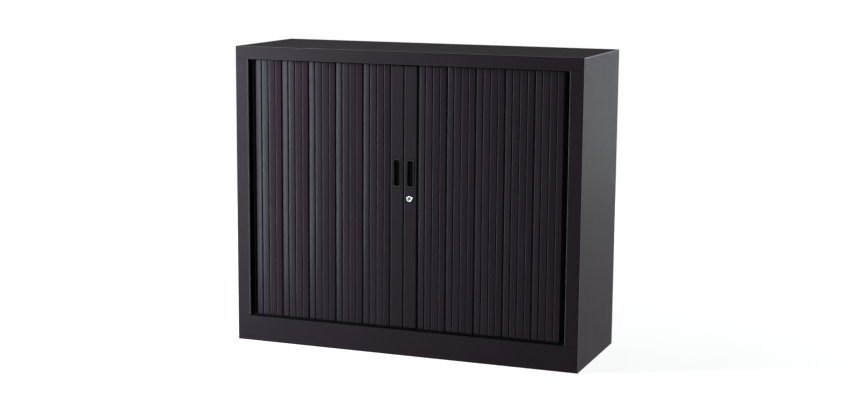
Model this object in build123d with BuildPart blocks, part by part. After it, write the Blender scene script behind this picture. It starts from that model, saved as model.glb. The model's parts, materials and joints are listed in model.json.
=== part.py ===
from build123d import *

import os

# Side-opening tambour cupboard in folded sheet steel. Two ribbed curtains slide apart along
# top and bottom tracks, round the front corners and behind the back lining.
# Millimetres, +Z up, front towards -Y, origin on the floor under the middle of the carcass.
# "Right" is +X. Pieces that come in pairs are drawn on the right and mirrored.

# ---- Carcass ----
width = 1200.0
depth = 430.0
height = 1000.0
sheet = 1.0
fold_radius = 2.0
post_width = 45.0
post_return = 12.0
post_hem = 10.0
rail_height = 42.0
rail_lip = 9.0
rail_hem = 8.0
plinth_height = 85.0
plinth_lip = 18.0
plinth_foot = 20.0
corner_strip = 4.0
back_flange = 22.0
side_foot = 20.0
flange_end_gap = 1.0
side_foot_gap = 2.0
notch_margin = 1.0
joint_gap = 0.2
seat_gap = 0.3

# ---- Base, ceiling and linings ----
ceiling_drop = 26.0
tray_flange = 20.0
tray_setback = 1.0
pan_setback = 0.5
floor_rise = 20.0
floor_corner = 36.0
floor_corner_gap = 3.0
floor_track_gap = 2.0
floor_back_gap = 1.0
liner_front_wing = 18.0
liner_wing_run = 29.0
liner_rear_wing = 32.0
liner_tab = 18.0
liner_gap = 1.0
liner_front_inset = 3.0
liner_back_reach = 1.0
lining_gap = 2.0
slot_width = 16.0
slot_height = 5.0
slot_pitch = 25.0
slot_rows = 1
slot_column_inset = 30.0
stiffener_width = 60.0
stiffener_depth = 24.0
stiffener_brim = 18.0
stiffener_end_gap = 50.0

# ---- Shelves ----
lower_shelf_level = 400.0
upper_shelf_level = 700.0
shelf_thickness = 25.0
shelf_hem = 12.0
shelf_side_gap = 3.0
shelf_end_gap = 3.0
shelf_corner = 36.0
shelf_corner_gap = 2.0
clip_width = 14.0
clip_shelf = 12.0
clip_drop = 16.0
clip_sheet = 1.5

# ---- Curtain ----
rib_pitch = 24.4
rib_groove = 1.4
rib_crest = 6.5
rib_shoulder = 5.7
rib_round = 1.8
rib_wall = 1.1
rib_back = 0.8
rib_overhang = 2.5
ribs_per_panel = 4
panels_in_front = 5
panels_stored = 2
hook_sheet = 0.8
hook_reach = 1.0
hook_lip = 1.4
hook_play = 0.8
arm_under = 2.0

# ---- Track ----
corner_radius = 48.0
curtain_setback = 20.0
side_clearance = 8.5
back_clearance = 6.5
track_front = 8.5
track_back = 4.5
track_wall = 1.5
bottom_track_height = 7.0
top_track_height = 19.5
run_gap = 0.3
buffer_length = 8.0
buffer_clearance = 0.5
track_end_gap = 1.0

# ---- Doors ----
centre_gap = 3.0
stile_width = 43.5
stile_neck = 3.0
stile_sheet = 1.5
stile_depth = 14.0
stile_lip = 9.0
stile_proud = 9.0
stile_end_gap = 1.5
travel_end_gap = 0.75
shoe_gap = 0.3
shoe_insert = 24.0
handle_height = 605.5
handle_length = 98.0
handle_width = 29.0
handle_rim = 1.2
handle_corner = 5.0
pocket_length = 84.0
pocket_width = 20.0
pocket_depth = 9.0
pocket_wall = 1.5
pocket_corner = 4.0
fit_gap = 0.3
cut_margin = 1.0

# ---- Lock ----
lock_below_handle = 82.5
lock_inset = 19.25
lug_reach = 13.5
lug_width = 5.0
lug_angle = 22.0
rosette_radius = 12.5
rosette_thickness = 1.0
bezel_radius = 9.5
bezel_thickness = 2.5
barrel_radius = 8.0
barrel_length = 14.5
plug_radius = 5.6
plug_clearance = 0.2
plug_sunk = 0.3
key_slot_width = 1.6
key_slot_height = 7.0
key_slot_depth = 12.0
nut_across = 19.0
nut_thickness = 3.0
cam_gap = 1.5
cam_thickness = 2.0
cam_width = 8.0
cam_hub_radius = 7.0
cam_reach = 36.5
tooth_width = 5.0
tooth_length = 7.0
drive_square = 6.0
cam_screw_across = 10.0
cam_screw_thickness = 2.0
keeper_sheet = 1.5
keeper_shelf = 10.0
keeper_below_arm = 2.5
keeper_slot_length = 12.0
keeper_slot_play = 1.3
keeper_length = 34.0
keeper_inset = 1.0
keeper_drop = 22.0

# ---- Levelling feet ----
foot_inset_x = 60.0
foot_inset_y = 45.0
foot_pad_radius = 14.0
foot_pad_height = 8.0
foot_lift = 0.3
foot_stud_radius = 4.7
foot_stud_top = 70.0
foot_slot_width = 1.5
foot_slot_depth = 2.0
foot_bore_radius = 5.1
bracket_width = 50.0
bracket_length = 48.0
bracket_sheet = 2.0
bracket_floor = 30.0
bracket_brim = 14.0
foot_nut_across = 16.0
foot_nut_height = 8.0
bore_sides = 8
key_hole_across = 14.0
cap_across = 19.0
cap_height = 1.5
cap_prong_length = 6.0
cap_prong_width = 3.5
cap_prong_gap = 0.55

# ---- Places that follow from the sizes above ----
front = -depth / 2
back = depth / 2
side = width / 2
skin_inside = side - sheet
pan_top = plinth_height + sheet
ceiling = height - ceiling_drop
opening_edge = side - post_width
rail_bottom = height - rail_height

# The curtain's hinge line in plan: front run, corner, side run, corner, back run.
curtain_front_y = front + curtain_setback
corner_x = skin_inside - side_clearance - rib_crest - corner_radius
front_corner_y = curtain_front_y + corner_radius
curtain_side_x = corner_x + corner_radius
curtain_back_y = back - 2 * sheet - back_clearance - rib_crest
back_corner_y = curtain_back_y - corner_radius
first_hinge_x = centre_gap / 2 + stile_width + stile_neck
door_travel = corner_x - (centre_gap / 2 + stile_width) - travel_end_gap

stile_front_y = curtain_front_y - stile_proud
stile_back_y = stile_front_y + stile_depth
bottom_track_top = pan_top + bottom_track_height
top_track_bottom = ceiling - top_track_height
curtain_bottom = pan_top + track_wall + run_gap
curtain_top = ceiling - track_wall - run_gap
liner_x = curtain_side_x - track_back - liner_gap - sheet
lining_back_y = curtain_back_y - track_back - lining_gap - sheet
floor_top = pan_top + floor_rise
liner_front_y = front_corner_y - liner_front_inset
liner_back_y = back_corner_y + liner_back_reach
shelf_levels = (lower_shelf_level, upper_shelf_level)
slot_columns = (liner_front_y + slot_column_inset, liner_back_y - slot_column_inset)
shelf_front_y = front_corner_y
shelf_back_y = lining_back_y - sheet - shelf_side_gap
shelf_half = liner_x - shelf_end_gap
pocket_outer_width = pocket_width + 2 * pocket_wall
pocket_outer_length = pocket_length + 2 * pocket_wall
lock_x = centre_gap / 2 + lock_inset
lock_height = handle_height - lock_below_handle
cam_front_y = stile_back_y + cam_gap + keeper_sheet
foot_x = side - foot_inset_x
foot_y = back - foot_inset_y


def save(part, name):
    """Labels a finished piece and writes its STEP file."""
    part.label = name
    export_step(part, f"parts/{name}.step")


def save_pair(part, name):
    """Writes the right-hand piece and its mirror image on the left."""
    with BuildPart() as twin:
        mirror(part, about=Plane.YZ)
    save(part, f"right_{name}")
    save(twin.part, f"left_{name}")


def folded(points, thickness=sheet, radius=fold_radius):
    """Draws a strip of folded sheet whose outer face follows the points, metal on the left."""
    with BuildLine() as strip:
        FilletPolyline(*points, radius=radius)
        offset(amount=thickness, side=Side.LEFT)
    make_face(strip.edges())


def creased(points, thickness=sheet):
    """The same with sharp creases, for small brackets and hidden beams."""
    with BuildLine() as strip:
        Polyline(*points)
        offset(amount=thickness, side=Side.LEFT, kind=Kind.INTERSECTION)
    make_face(strip.edges())


def octagon(across, mode=Mode.ADD):
    """Adds an eight-sided hole or cap to the open sketch, with flats to the front and sides."""
    RegularPolygon(across / 2, bore_sides, major_radius=False, rotation=180 / bore_sides, mode=mode)


# ---------------------------------------------------------------- carcass
def side_panel():
    """Outer skin and front post in one folded sheet, with a foot flange and a back flange."""
    hem_y = front + post_return
    with BuildPart() as panel:
        with BuildSketch():
            folded(
                (
                    (opening_edge + post_hem, hem_y),
                    (opening_edge, hem_y),
                    (opening_edge, front),
                    (side, front),
                    (side, back),
                    (side - back_flange, back),
                )
            )
        extrude(amount=height)
        # The post's face ends under the top rail and above the plinth.
        notch_width = post_width - corner_strip + joint_gap
        notch_depth = post_return + notch_margin
        notch_x = side - corner_strip - notch_width / 2
        notch_y = front + notch_depth / 2
        with Locations((notch_x, notch_y, height - rail_height / 2)):
            Box(notch_width, notch_depth, rail_height, mode=Mode.SUBTRACT)
        with Locations((notch_x, notch_y, pan_top / 2)):
            Box(notch_width, notch_depth, pan_top, mode=Mode.SUBTRACT)
        # The back flange stops under the top panel's own flange.
        with Locations((notch_x, back, height - back_flange / 2)):
            Box(notch_width, 2 * fold_radius, back_flange, mode=Mode.SUBTRACT)
        with Locations((side - side_foot / 2, 0, sheet / 2)):
            Box(side_foot, depth - 2 * (plinth_foot + side_foot_gap), sheet)
    return panel.part


def top_panel():
    """Top sheet folded down into the front rail, with flanges at the sides and the back."""
    half_front = side - corner_strip
    lip_y = front + rail_lip
    flange_depth = depth - 2 * (fold_radius + flange_end_gap)
    flange_half = skin_inside - joint_gap
    with BuildPart() as panel:
        with BuildSketch(Plane.YZ):
            folded(
                (
                    (back, height - back_flange),
                    (back, height),
                    (front, height),
                    (front, rail_bottom),
                    (lip_y, rail_bottom),
                    (lip_y, rail_bottom + rail_hem),
                )
            )
        extrude(amount=half_front, both=True)
        with Locations((0, 0, height - sheet / 2)):
            Box(2 * flange_half, flange_depth, sheet)
        for direction in (-1, 1):
            with Locations((direction * (flange_half - sheet / 2), 0, height - tray_flange / 2)):
                Box(sheet, flange_depth, tray_flange)
    return panel.part


def plinth_panel():
    """Kick panel between the side skins, folded back at the top and on the floor."""
    with BuildPart() as panel:
        with BuildSketch(Plane.YZ):
            folded(
                (
                    (front + plinth_lip, plinth_height),
                    (front, plinth_height),
                    (front, 0),
                    (front + plinth_foot, 0),
                )
            )
        extrude(amount=side - corner_strip, both=True)
    return panel.part


def base_panel():
    """Pan that closes the carcass under the tracks, punched square over the feet's studs."""
    half = skin_inside - joint_gap
    pan_front = front + pan_setback
    pan_back = back - 2 * sheet - joint_gap
    with BuildPart() as pan:
        with BuildSketch(Plane.YZ):
            creased(
                (
                    (pan_back, pan_top - tray_flange),
                    (pan_back, pan_top),
                    (pan_front, pan_top),
                )
            )
        extrude(amount=side - corner_strip - joint_gap, both=True)
        flange_depth = depth - 2 * (corner_strip + fold_radius)
        for direction in (-1, 1):
            with Locations((direction * (half - sheet / 2), 0, pan_top - tray_flange / 2)):
                Box(sheet, flange_depth, tray_flange)
            with Locations((direction * (half - corner_strip), 0, pan_top - sheet / 2)):
                Box(2 * corner_strip, flange_depth, sheet)
        with Locations(Plane.XY.offset(pan_top)):
            with GridLocations(2 * foot_x, 2 * foot_y, 2, 2):
                Box(key_hole_across, key_hole_across, 4 * sheet, mode=Mode.SUBTRACT)
    return pan.part


def ceiling_panel():
    """Upturned tray under the top sheet that carries the top tracks."""
    tray_front = front + rail_lip + tray_setback
    tray_back = back - 2 * sheet - joint_gap
    with BuildPart() as tray:
        with BuildSketch(Plane.XY.offset(ceiling)):
            with Locations((0, (tray_front + tray_back) / 2)):
                Rectangle(2 * (skin_inside - sheet - 2 * joint_gap), tray_back - tray_front)
        extrude(amount=height - sheet - ceiling)
        offset(amount=-sheet, openings=tray.faces().sort_by(Axis.Z)[-1], kind=Kind.INTERSECTION)
    return tray.part


def back_panel():
    """Plain outer back, held in front of the flanges."""
    half = skin_inside - fold_radius
    panel_height = height - fold_radius - 2 * joint_gap
    with BuildPart() as panel:
        with Locations((0, back - 1.5 * sheet, joint_gap + panel_height / 2)):
            Box(2 * half, sheet, panel_height)
    return panel.part


def base_stiffener():
    """Top-hat beam across the underside of the pan."""
    half_web = stiffener_width / 2
    floor_z = plinth_height - stiffener_depth
    with BuildPart() as beam:
        with BuildSketch(Plane.YZ):
            creased(
                (
                    (-half_web - stiffener_brim, plinth_height - sheet),
                    (-half_web, plinth_height - sheet),
                    (-half_web, floor_z),
                    (half_web, floor_z),
                    (half_web, plinth_height - sheet),
                    (half_web + stiffener_brim, plinth_height - sheet),
                )
            )
        extrude(amount=side - stiffener_end_gap, both=True)
    return beam.part


# ---------------------------------------------------------------- inside
def clip_height(level):
    """Height of the slots that carry a shelf at this level."""
    return level - shelf_thickness - clip_drop / 2


def liner():
    """Inner side wall. Its wings turn in to the curtain, and it is slotted for shelf clips."""
    wall_height = ceiling - pan_top - 2 * joint_gap
    tab_x = liner_x - liner_rear_wing
    with BuildPart() as wall:
        with BuildSketch(Plane.XY.offset(pan_top + joint_gap)):
            creased(
                (
                    (liner_x + sheet - liner_front_wing, liner_front_y - liner_wing_run),
                    (liner_x + sheet, liner_front_y),
                    (liner_x + sheet, liner_back_y),
                    (tab_x, lining_back_y),
                    (tab_x - liner_tab, lining_back_y),
                )
            )
        extrude(amount=wall_height)
        for level in shelf_levels:
            for row in range(-slot_rows, slot_rows + 1):
                slot_z = clip_height(level) + row * slot_pitch
                for column_y in slot_columns:
                    with Locations((liner_x + sheet / 2, column_y, slot_z)):
                        Box(4 * sheet, slot_width, slot_height, mode=Mode.SUBTRACT)
    return wall.part


def lining_back():
    """Inner back wall between the linings, in front of the curtains' back runs."""
    half = liner_x - liner_rear_wing - joint_gap
    wall_height = ceiling - pan_top - 2 * joint_gap
    with BuildPart() as wall:
        with BuildSketch(Plane.XY.offset(pan_top + joint_gap)):
            with Locations((0, lining_back_y + sheet / 2)):
                Rectangle(2 * half, sheet)
        extrude(amount=wall_height)
    return wall.part


def floor_panel():
    """Raised inner floor: an upturned tray with cut corners that clears the tracks."""
    half = liner_x - seat_gap
    floor_front = curtain_front_y + track_back + floor_track_gap
    floor_back = lining_back_y - sheet - floor_back_gap
    right_edge = (
        (0, floor_front),
        (half - floor_corner, floor_front),
        (half, liner_front_y),
        (half, liner_back_y - floor_corner_gap),
        (half - floor_corner, floor_back),
        (0, floor_back),
    )
    with BuildPart() as tray:
        with BuildSketch(Plane.XY.offset(pan_top)):
            with BuildLine():
                Polyline(*right_edge)
                mirror(about=Plane.YZ)
            make_face()
        extrude(amount=floor_rise)
        offset(amount=-sheet, openings=tray.faces().sort_by(Axis.Z)[0], kind=Kind.INTERSECTION)
        with BuildSketch(Plane.XY.offset(floor_top)):
            with GridLocations(2 * foot_x, 2 * foot_y, 2, 2):
                octagon(key_hole_across)
        extrude(amount=-sheet, mode=Mode.SUBTRACT)
    return tray.part


def floor_plugs():
    """Push-in caps in the inner floor's key holes."""
    prong = key_hole_across - 2 * cap_prong_gap
    with BuildPart() as caps:
        with BuildSketch(Plane.XY.offset(floor_top)):
            with GridLocations(2 * foot_x, 2 * foot_y, 2, 2):
                octagon(cap_across)
        extrude(amount=cap_height)
        with BuildSketch(Plane.XY.offset(floor_top)):
            with GridLocations(2 * foot_x, 2 * foot_y, 2, 2):
                Rectangle(prong, cap_prong_width)
        extrude(amount=-cap_prong_length)
    return caps.part


def shelf(level):
    """Folded shelf with hemmed front and back edges and turned-down ends."""
    underside = level - shelf_thickness
    with BuildPart() as tray:
        with BuildSketch(Plane.YZ):
            creased(
                (
                    (shelf_back_y - shelf_hem, underside),
                    (shelf_back_y, underside),
                    (shelf_back_y, level),
                    (shelf_front_y, level),
                    (shelf_front_y, underside),
                    (shelf_front_y + shelf_hem, underside),
                )
            )
        extrude(amount=shelf_half, both=True)
        end_depth = shelf_back_y - shelf_front_y - 2 * sheet
        for direction in (-1, 1):
            place = (
                direction * (shelf_half - sheet / 2),
                (shelf_front_y + shelf_back_y) / 2,
                level - shelf_thickness / 2,
            )
            with Locations(place):
                Box(sheet, end_depth, shelf_thickness)
        # The back corners are cut off to clear the linings' rear wings.
        for direction in (-1, 1):
            with BuildSketch(Plane.XY.offset(underside)):
                with BuildLine():
                    Polyline(
                        (direction * (shelf_half - shelf_corner), shelf_back_y),
                        (direction * shelf_half, shelf_back_y),
                        (direction * shelf_half, liner_back_y - shelf_corner_gap),
                        close=True,
                    )
                make_face()
            extrude(amount=shelf_thickness, mode=Mode.SUBTRACT)
    return tray.part


def shelf_clips():
    """Bent clips: a tongue through the liner's slot and a ledge under each shelf's ends."""
    with BuildPart() as clips:
        for level in shelf_levels:
            ledge = level - shelf_thickness
            ledge_z = ledge - clip_sheet / 2
            for direction in (-1, 1):
                for column_y in slot_columns:
                    with Locations((direction * (liner_x - clip_shelf / 2), column_y, ledge_z)):
                        Box(clip_shelf, clip_width, clip_sheet)
                    with Locations((direction * (liner_x - clip_sheet / 2), column_y, ledge - clip_drop / 2)):
                        Box(clip_sheet, clip_width, clip_drop)
                    with Locations((direction * (liner_x + sheet / 2), column_y, clip_height(level))):
                        Box(2 * sheet, clip_width, clip_sheet)
    return clips.part


# ---------------------------------------------------------------- track
def hinge_line(start_x, end_x):
    """Plan of the curtain's run on the right: front, corner, side, corner, back."""
    with BuildLine() as run:
        front_run = Line((start_x, curtain_front_y), (corner_x, curtain_front_y))
        first = JernArc(front_run @ 1, front_run % 1, corner_radius, 90)
        side_run = Line(first @ 1, (curtain_side_x, back_corner_y))
        second = JernArc(side_run @ 1, side_run % 1, corner_radius, 90)
        Line(second @ 1, (end_x, curtain_back_y))
    return Wire(run.edges())


def hinge_points():
    """Hinge centres one rib apart along the run, from the stile to the curtain's tail."""
    ribs = ribs_per_panel * (panels_in_front + panels_stored)
    search_reach = 1.2
    search_steps = 30
    run = hinge_line(first_hinge_x, 0.0)
    travelled = 0.0
    points = [run.position_at(0.0, PositionMode.LENGTH)]
    for _ in range(ribs):
        low, high = travelled + rib_pitch, travelled + search_reach * rib_pitch
        for _ in range(search_steps):
            middle = (low + high) / 2
            chord = run.position_at(middle, PositionMode.LENGTH) - points[-1]
            if chord.length < rib_pitch:
                low = middle
            else:
                high = middle
        travelled = high
        points.append(run.position_at(travelled, PositionMode.LENGTH))
    return points, travelled


hinges, curtain_length = hinge_points()
open_tail = curtain_length + door_travel
whole_run = hinge_line(first_hinge_x, 0.0)
track_end_x = whole_run.position_at(open_tail + buffer_clearance, PositionMode.LENGTH).X


def track(base_z, wall_height, opens_up):
    """Channel swept along the run, its roof or floor a wall thick."""
    end_x = track_end_x - buffer_length - track_end_gap
    route = hinge_line(run_gap, end_x)
    across = track_front + track_back
    middle = (track_back - track_front) / 2
    wall_sign = 1 if opens_up else -1
    with BuildPart() as channel:
        with BuildLine():
            add(route)
        with BuildSketch(Plane(origin=(run_gap, curtain_front_y, base_z), x_dir=(0, 1, 0), z_dir=(1, 0, 0))):
            with Locations((middle, wall_sign * wall_height / 2)):
                Rectangle(across, wall_height)
            channel_height = wall_height - track_wall
            with Locations((middle, wall_sign * (track_wall + channel_height / 2))):
                Rectangle(across - 2 * track_wall, channel_height, mode=Mode.SUBTRACT)
        sweep()
    return channel.part


def track_buffers():
    """Rubber blocks in the blind ends of the four tracks."""
    across = track_front + track_back - 2 * track_wall - 2 * run_gap
    middle_y = curtain_back_y + (track_front - track_back) / 2
    bottom_height = bottom_track_height - track_wall
    middle_x = track_end_x - buffer_length / 2
    bottom_z = pan_top + track_wall + bottom_height / 2
    top_z = ceiling - track_wall - bottom_height / 2
    with BuildPart() as blocks:
        for direction in (-1, 1):
            for level in (bottom_z, top_z):
                with Locations((direction * middle_x, middle_y, level)):
                    Box(buffer_length, across, bottom_height)
    return blocks.part


# ---------------------------------------------------------------- curtain
def rib_section(leads, trails):
    """One hollow rib in the open sketch: u runs along the curtain, v out of its face.
    A panel's first rib reaches back with a hook that its neighbour's last rib holds."""
    left = rib_groove / 2
    right = rib_pitch - rib_groove / 2
    inner_left = left
    inner_right = right
    outline = []
    if leads:
        inner_left = hook_reach + hook_play
        outline += [
            (inner_left, -rib_back),
            (inner_left, arm_under),
            (-hook_play, arm_under),
            (-hook_play, hook_play),
            (-hook_play - hook_sheet, hook_play),
            (-hook_play - hook_sheet, arm_under + hook_sheet),
            (left, arm_under + hook_sheet),
        ]
    else:
        outline += [(left, -rib_back)]
    outline += [(left, rib_shoulder)]
    tail = [(right, rib_shoulder)]
    if trails:
        inner_right = right - rib_overhang
        step = arm_under + hook_sheet + hook_play / 2
        tail += [(right, step), (inner_right, step)]
    tail += [(inner_right, -rib_back)]
    with BuildLine() as skin:
        Polyline(*outline)
        ThreePointArc((left, rib_shoulder), (rib_pitch / 2, rib_crest), (right, rib_shoulder))
        Polyline(*tail, outline[0])
    make_face(skin.edges())
    shoulders = vertices().group_by(Axis.Y)[-1]
    chamfer(shoulders, rib_round)
    hollow_left = inner_left + rib_wall
    hollow_width = inner_right - rib_wall - hollow_left
    hollow_height = rib_shoulder + rib_back - 2 * rib_wall
    with Locations((hollow_left + hollow_width / 2, rib_wall - rib_back + hollow_height / 2)):
        Rectangle(hollow_width, hollow_height, mode=Mode.SUBTRACT)
    if not leads:
        with Locations((0, -rib_back / 2)):
            Rectangle(2 * rib_groove, rib_back)
    if trails:
        held_lip(inner_right, rib_pitch)


def held_lip(wall, hinge, level=0.0, out=1):
    """Neck from a wall past the hinge, with an upturned lip that the next hook reaches over."""
    end = hinge + hook_reach
    with Locations(((wall + end) / 2, level)):
        Rectangle(end - wall, hook_sheet)
    with Locations((end - hook_sheet / 2, level + out * (hook_lip - hook_sheet / 2) / 2)):
        Rectangle(hook_sheet, hook_lip + hook_sheet / 2)


def curtain_panel(index):
    """Four ribs on thin webs, one extruded length that hooks into the panel before it."""
    first = index * ribs_per_panel
    chain = hinges[first : first + ribs_per_panel + 1]
    with BuildPart() as panel:
        for rib, (start, end) in enumerate(zip(chain, chain[1:])):
            origin = (start.X, start.Y, curtain_top)
            with BuildSketch(Plane(origin=origin, x_dir=end - start, z_dir=(0, 0, -1))):
                rib_section(rib == 0, rib == ribs_per_panel - 1)
        extrude(amount=curtain_top - curtain_bottom)
    return panel.part


# ---------------------------------------------------------------- doors
def stile():
    """Leading stile: a folded channel with the bead that the curtain hooks on."""
    near = centre_gap / 2
    far = near + stile_width
    with BuildPart() as channel:
        with BuildSketch(Plane.XY.offset(bottom_track_top + stile_end_gap)):
            folded(
                (
                    (near + stile_lip, stile_back_y),
                    (near, stile_back_y),
                    (near, stile_front_y),
                    (far, stile_front_y),
                    (far, stile_back_y),
                    (far - stile_lip, stile_back_y),
                ),
                thickness=stile_sheet,
            )
            held_lip(far - stile_sheet / 2, first_hinge_x, curtain_front_y, -1)
        extrude(amount=top_track_bottom - bottom_track_top - 2 * stile_end_gap)
        with BuildSketch(Plane.XZ.offset(-stile_front_y - stile_sheet - cut_margin)):
            with Locations((near + stile_width / 2, handle_height)):
                Rectangle(pocket_outer_width + 2 * fit_gap, pocket_outer_length + 2 * fit_gap)
        extrude(amount=stile_sheet + 2 * cut_margin, mode=Mode.SUBTRACT)
    return channel.part


def right_stile_with_lock_hole(part):
    """The right stile also has the round hole for the lock."""
    with BuildPart() as channel:
        add(part)
        with BuildSketch(Plane.XZ.offset(-stile_front_y - stile_sheet - cut_margin)):
            with Locations((lock_x, lock_height)):
                Circle(barrel_radius + fit_gap)
        extrude(amount=stile_sheet + 2 * cut_margin, mode=Mode.SUBTRACT)
    return channel.part


def stile_shoes():
    """Plastic blocks in the stile's ends, which run in the tracks."""
    inner_width = stile_width - 2 * stile_sheet - 2 * fit_gap
    inner_front = stile_front_y + stile_sheet + fit_gap
    inner_back = stile_back_y - stile_sheet - fit_gap
    run_front = curtain_front_y - track_front + track_wall + shoe_gap
    run_back = curtain_front_y + track_back - track_wall - shoe_gap
    middle_x = centre_gap / 2 + stile_width / 2
    with BuildPart() as shoes:
        for tip, mouth, grow in (
            (curtain_bottom, bottom_track_top + stile_end_gap, 1),
            (curtain_top, top_track_bottom - stile_end_gap, -1),
        ):
            with Locations((middle_x, (run_front + run_back) / 2, (tip + mouth) / 2)):
                Box(inner_width, run_back - run_front, abs(mouth - tip))
            insert_z = mouth + grow * shoe_insert / 2
            with Locations((middle_x, (inner_front + inner_back) / 2, insert_z)):
                Box(inner_width, inner_back - inner_front, shoe_insert)
    return shoes.part


def handle_cup():
    """Recessed pull: a rounded cup let into the stile, with a rim on its face."""
    middle = (centre_gap / 2 + stile_width / 2, handle_height)
    with BuildPart() as cup:
        with BuildSketch(Plane.XZ.offset(-stile_front_y)):
            with Locations(middle):
                RectangleRounded(handle_width, handle_length, handle_corner)
        extrude(amount=handle_rim)
        with BuildSketch(Plane.XZ.offset(-stile_front_y)):
            with Locations(middle):
                Rectangle(pocket_outer_width, pocket_outer_length)
        extrude(amount=-pocket_depth - pocket_wall)
        with BuildSketch(Plane.XZ.offset(-stile_front_y + handle_rim)):
            with Locations(middle):
                RectangleRounded(pocket_width, pocket_length, pocket_corner)
        extrude(amount=-pocket_depth - handle_rim, mode=Mode.SUBTRACT)
    return cup.part


# ---------------------------------------------------------------- lock
def lock_plane(y):
    """Plane across the lock's axis at depth y, facing the front."""
    return Plane(origin=(lock_x, y, lock_height), x_dir=(1, 0, 0), z_dir=(0, -1, 0))


def lock_rosette():
    """Thin ring under the lock's bezel."""
    with BuildPart() as ring:
        with BuildSketch(lock_plane(stile_front_y)):
            Circle(rosette_radius)
            Circle(barrel_radius + fit_gap, mode=Mode.SUBTRACT)
        extrude(amount=rosette_thickness)
    return ring.part


def lock_housing():
    """Barrel with a lugged bezel outside the rosette, bored for the plug."""
    bezel_back = stile_front_y - rosette_thickness
    bezel_front = bezel_back - bezel_thickness
    with BuildPart() as housing:
        # A lug on the bezel points to where the key goes in.
        with BuildSketch(lock_plane(bezel_back)):
            Circle(bezel_radius)
            with Locations(Rotation(0, 0, lug_angle)):
                with Locations((lug_reach / 2, 0)):
                    Rectangle(lug_reach, lug_width)
        extrude(amount=bezel_thickness)
        with BuildSketch(lock_plane(bezel_back)):
            Circle(barrel_radius)
        extrude(amount=-barrel_length)
        with BuildSketch(lock_plane(bezel_front)):
            Circle(plug_radius + plug_clearance)
        extrude(amount=-barrel_length - bezel_thickness, mode=Mode.SUBTRACT)
    return housing.part


def lock_nut():
    """Hexagon nut that clamps the barrel behind the stile's face."""
    with BuildPart() as nut:
        with BuildSketch(lock_plane(stile_front_y + stile_sheet)):
            RegularPolygon(nut_across / 2, 6, major_radius=False)
            Circle(barrel_radius + plug_clearance, mode=Mode.SUBTRACT)
        extrude(amount=-nut_thickness)
    return nut.part


def lock_plug():
    """Plug with its key slot, and the square that drives the hook."""
    plug_front = stile_front_y - rosette_thickness - bezel_thickness + plug_sunk
    with BuildPart() as plug:
        with BuildSketch(lock_plane(plug_front)):
            Circle(plug_radius)
        extrude(amount=plug_front - cam_front_y)
        with BuildSketch(lock_plane(cam_front_y)):
            Rectangle(drive_square, drive_square)
        extrude(amount=-cam_thickness)
        with BuildSketch(lock_plane(plug_front)):
            Rectangle(key_slot_width, key_slot_height)
        extrude(amount=-key_slot_depth, mode=Mode.SUBTRACT)
    return plug.part


def lock_hook():
    """Hook on the plug's square. It points up when unlocked and swings over to the left."""
    arm_end = cam_reach - tooth_width / 2
    with BuildPart() as hook:
        with BuildSketch(lock_plane(cam_front_y)):
            Circle(cam_hub_radius)
            with Locations((0, arm_end / 2)):
                Rectangle(cam_width, arm_end)
            with Locations((-(cam_width + tooth_length) / 2 + cam_width / 2, arm_end)):
                Rectangle(cam_width + tooth_length, tooth_width)
            Rectangle(drive_square + plug_clearance, drive_square + plug_clearance, mode=Mode.SUBTRACT)
            fillet(vertices().group_by(Axis.X)[0], tooth_width / 4)
        extrude(amount=-cam_thickness)
    return hook.part


def hook_screw():
    """Hexagon head that holds the hook on its square."""
    screw_y = cam_front_y + cam_thickness
    with BuildPart() as screw:
        with BuildSketch(lock_plane(screw_y)):
            RegularPolygon(cam_screw_across / 2, 6, major_radius=False)
        extrude(amount=-cam_screw_thickness)
    return screw.part


def lock_keeper():
    """Angle on the left stile's back. The hook's tooth drops through the slot in its shelf."""
    tooth_x = lock_x - cam_reach + tooth_width / 2
    shelf_top = lock_height - cam_width / 2 - keeper_below_arm
    plate_right = -centre_gap / 2 - keeper_inset
    plate_x = plate_right - keeper_length / 2
    slot_y = cam_front_y + cam_thickness / 2
    with BuildPart() as angle:
        with BuildSketch(Plane.YZ.offset(plate_right)):
            creased(
                (
                    (stile_back_y + keeper_shelf, shelf_top),
                    (stile_back_y, shelf_top),
                    (stile_back_y, shelf_top - keeper_drop),
                ),
                thickness=keeper_sheet,
            )
        extrude(amount=-keeper_length)
        slot_breadth = cam_thickness + 2 * keeper_slot_play
        with Locations((tooth_x, slot_y, shelf_top)):
            Box(keeper_slot_length, slot_breadth, 4 * keeper_sheet, mode=Mode.SUBTRACT)
    return angle.part


# ---------------------------------------------------------------- feet
def foot_brackets():
    """Top-hat brackets that hang under the pan's corners."""
    half_web = bracket_width / 2
    with BuildPart() as brackets:
        for direction_x in (-1, 1):
            for direction_y in (-1, 1):
                middle = direction_x * foot_x
                start_y = direction_y * foot_y - bracket_length / 2
                with BuildSketch(Plane(origin=(middle, start_y, 0), x_dir=(-1, 0, 0), z_dir=(0, 1, 0))):
                    creased(
                        (
                            (-half_web - bracket_brim, plinth_height - bracket_sheet),
                            (-half_web, plinth_height - bracket_sheet),
                            (-half_web, bracket_floor),
                            (half_web, bracket_floor),
                            (half_web, plinth_height - bracket_sheet),
                            (half_web + bracket_brim, plinth_height - bracket_sheet),
                        ),
                        thickness=bracket_sheet,
                    )
                extrude(amount=bracket_length)
        # Square punched holes pass the studs.
        with Locations(Plane.XY.offset(bracket_floor)):
            with GridLocations(2 * foot_x, 2 * foot_y, 2, 2):
                Box(2 * foot_bore_radius, 2 * foot_bore_radius, 3 * bracket_sheet, mode=Mode.SUBTRACT)
    return brackets.part


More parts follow.
